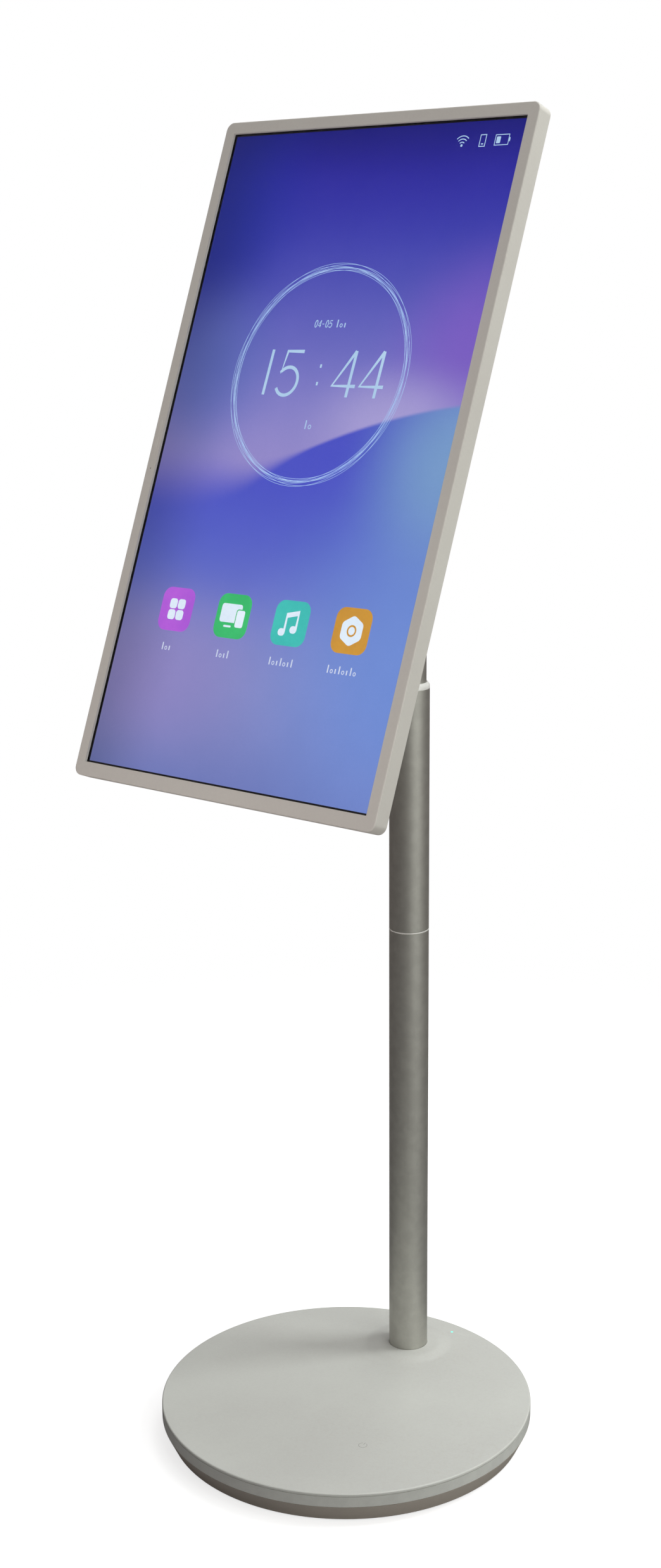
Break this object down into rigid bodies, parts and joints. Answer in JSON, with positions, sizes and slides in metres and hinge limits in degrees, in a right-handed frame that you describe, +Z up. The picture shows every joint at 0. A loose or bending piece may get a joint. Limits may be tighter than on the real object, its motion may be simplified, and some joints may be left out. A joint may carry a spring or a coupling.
{
  "type": "smart display on a rolling stand",
  "caption": "Portrait touch display on a tilting, turning head and a sliding pole, standing on a round base with hidden casters and a battery.",
  "frame": {"origin": "on the floor under the centre of the base disc", "axes": "+Z up along the pole; the screen faces -Y when the head points straight ahead; +X is to the right of someone facing the back of the object"},
  "size_m": [0.399, 0.363, 1.2516],
  "materials": {
    "shell_plastic": "satin moulded white plastic",
    "lower_plastic": "matte dark taupe plastic",
    "plain_steel": "rolled steel with a zinc phosphate coat",
    "anodised_tube": "fine-blasted anodised aluminium",
    "turned_alloy": "turned aluminium",
    "bright_ring": "bright trim, satin",
    "acetal": "black acetal",
    "black_steel": "black lacquered steel tube",
    "hard_chrome": "ground hard chrome",
    "cord_jacket": "smooth cord jacket",
    "screw_steel": "zinc plated",
    "fork_plastic": "grey glass-filled nylon",
    "wheel_rubber": "soft grey polyurethane",
    "cast_alloy": "painted cast aluminium",
    "bracket_steel": "satin grey powder coat",
    "washer_brass": "bronze friction washer",
    "frame_plastic": "warm off-white moulded plastic",
    "screen_glass": "gloss touch glass",
    "screen_panel": "lit display panel",
    "galvanised": "zinc coated sheet",
    "rear_plastic": "off-white textured plastic",
    "board": "solder-masked circuit board",
    "cell_foil": "laminated pouch foil",
    "black_plastic": "black moulded plastic",
    "lens": "clear light pipe",
    "button_plastic": "satin plastic key"
  },
  "bodies": {
    "base": {"base_cover": "shell_plastic", "base_shell": "lower_plastic", "ballast_plate": "plain_steel", "battery_tray": "black_plastic", "battery_cells": "cell_foil", "power_board": "board", "power_inlet": "black_plastic", "status_lens": "lens", "touch_pad": "board", "base_screws": "screw_steel", "caster_sockets": "fork_plastic", "pole_flange": "turned_alloy", "lower_tube": "anodised_tube", "seam_ring": "bright_ring", "upper_tube": "anodised_tube", "top_collar": "bright_ring", "guide_bush": "acetal", "guide_liner": "galvanised", "spring_bracket": "turned_alloy", "gas_cylinder": "black_steel", "cord_lower": "cord_jacket", "cord_coil": "cord_jacket"},
    "mast": {"mast_tube": "anodised_tube", "mast_plug": "acetal", "gas_rod": "hard_chrome", "cord_upper": "cord_jacket", "swivel_spindle": "turned_alloy", "spindle_nut": "galvanised"},
    "arm": {"swivel_arm": "cast_alloy", "arm_cap": "cast_alloy"},
    "tilt_head": {"tilt_bracket": "bracket_steel", "tilt_pin": "hard_chrome", "friction_washers": "washer_brass", "turn_nut": "galvanised"},
    "display": {"front_frame": "frame_plastic", "cover_glass": "screen_glass", "lcd_module": "screen_panel", "chassis_plate": "galvanised", "pivot_plate": "galvanised", "rear_cover": "rear_plastic", "hub_ring": "rear_plastic", "main_board": "board", "driver_board": "board", "speakers": "black_plastic", "rear_sockets": "galvanised", "rear_screws": "screw_steel"},
    "power_button": {"power_button": "button_plastic"},
    "volume_up_button": {"volume_up_button": "button_plastic"},
    "volume_down_button": {"volume_down_button": "button_plastic"},
    "caster_fork_1": {"caster_fork_1": "fork_plastic"},
    "caster_wheel_1": {"caster_wheel_1": "wheel_rubber"},
    "caster_fork_2": {"caster_fork_2": "fork_plastic"},
    "caster_wheel_2": {"caster_wheel_2": "wheel_rubber"},
    "caster_fork_3": {"caster_fork_3": "fork_plastic"},
    "caster_wheel_3": {"caster_wheel_3": "wheel_rubber"},
    "caster_fork_4": {"caster_fork_4": "fork_plastic"},
    "caster_wheel_4": {"caster_wheel_4": "wheel_rubber"},
    "caster_fork_5": {"caster_fork_5": "fork_plastic"},
    "caster_wheel_5": {"caster_wheel_5": "wheel_rubber"}
  },
  "joints": [
    {"name": "height_slide", "type": "slide", "parent": "base", "child": "mast", "axis": [0, 0, 1], "range_m": [-0.17, 0.03], "deforming": ["cord_coil"]},
    {"name": "head_swivel", "type": "hinge", "parent": "mast", "child": "arm", "pos_m": [0, 0.12, 0.924], "axis": [0, 0, 1], "range_deg": [-55.5, 74.5]},
    {"name": "display_tilt", "type": "hinge", "parent": "arm", "child": "tilt_head", "pos_m": [-0.01056, 0.05688, 0.9207], "axis": [-0.9863, 0.165, 0], "range_deg": [-36.8, 3.2]},
    {"name": "display_turn", "type": "hinge", "parent": "tilt_head", "child": "display", "pos_m": [-0.02573, -0.03378, 0.95747], "axis": [0.1532, 0.9158, -0.3714], "range_deg": [-88.7, 91.3]},
    {"name": "power_button_press", "type": "slide", "parent": "display", "child": "power_button", "axis": [-0.1532, -0.9158, 0.3714], "range_m": [0, 0.0008], "stiffness_N_per_m": 900, "springref_m": -0.0006},
    {"name": "volume_up_button_press", "type": "slide", "parent": "display", "child": "volume_up_button", "axis": [-0.1532, -0.9158, 0.3714], "range_m": [0, 0.0008], "stiffness_N_per_m": 900, "springref_m": -0.0006},
    {"name": "volume_down_button_press", "type": "slide", "parent": "display", "child": "volume_down_button", "axis": [-0.1532, -0.9158, 0.3714], "range_m": [0, 0.0008], "stiffness_N_per_m": 900, "springref_m": -0.0006},
    {"name": "caster_1_swivel", "type": "hinge", "parent": "base", "child": "caster_fork_1", "pos_m": [0, -0.14, 0.022], "axis": [0, 0, 1], "continuous": true},
    {"name": "caster_1_roll", "type": "hinge", "parent": "caster_fork_1", "child": "caster_wheel_1", "pos_m": [0.00239, -0.14658, 0.01], "axis": [-0.9397, -0.342, 0], "continuous": true},
    {"name": "caster_2_swivel", "type": "hinge", "parent": "base", "child": "caster_fork_2", "pos_m": [0.13315, -0.04326, 0.022], "axis": [0, 0, 1], "continuous": true},
    {"name": "caster_2_roll", "type": "hinge", "parent": "caster_fork_2", "child": "caster_wheel_2", "pos_m": [0.13577, -0.04975, 0.01], "axis": [-0.9272, -0.3746, 0], "continuous": true},
    {"name": "caster_3_swivel", "type": "hinge", "parent": "base", "child": "caster_fork_3", "pos_m": [0.08229, 0.11326, 0.022], "axis": [0, 0, 1], "continuous": true},
    {"name": "caster_3_roll", "type": "hinge", "parent": "caster_fork_3", "child": "caster_wheel_3", "pos_m": [0.08217, 0.10626, 0.01], "axis": [-0.9998, 0.0175, 0], "continuous": true},
    {"name": "caster_4_swivel", "type": "hinge", "parent": "base", "child": "caster_fork_4", "pos_m": [-0.08229, 0.11326, 0.022], "axis": [0, 0, 1], "continuous": true},
    {"name": "caster_4_roll", "type": "hinge", "parent": "caster_fork_4", "child": "caster_wheel_4", "pos_m": [-0.0862, 0.10746, 0.01], "axis": [-0.829, 0.5592, 0], "continuous": true},
    {"name": "caster_5_swivel", "type": "hinge", "parent": "base", "child": "caster_fork_5", "pos_m": [-0.13315, -0.04326, 0.022], "axis": [0, 0, 1], "continuous": true},
    {"name": "caster_5_roll", "type": "hinge", "parent": "caster_fork_5", "child": "caster_wheel_5", "pos_m": [-0.13351, -0.03627, 0.01], "axis": [0.9986, 0.0523, 0], "continuous": true}
  ]
}
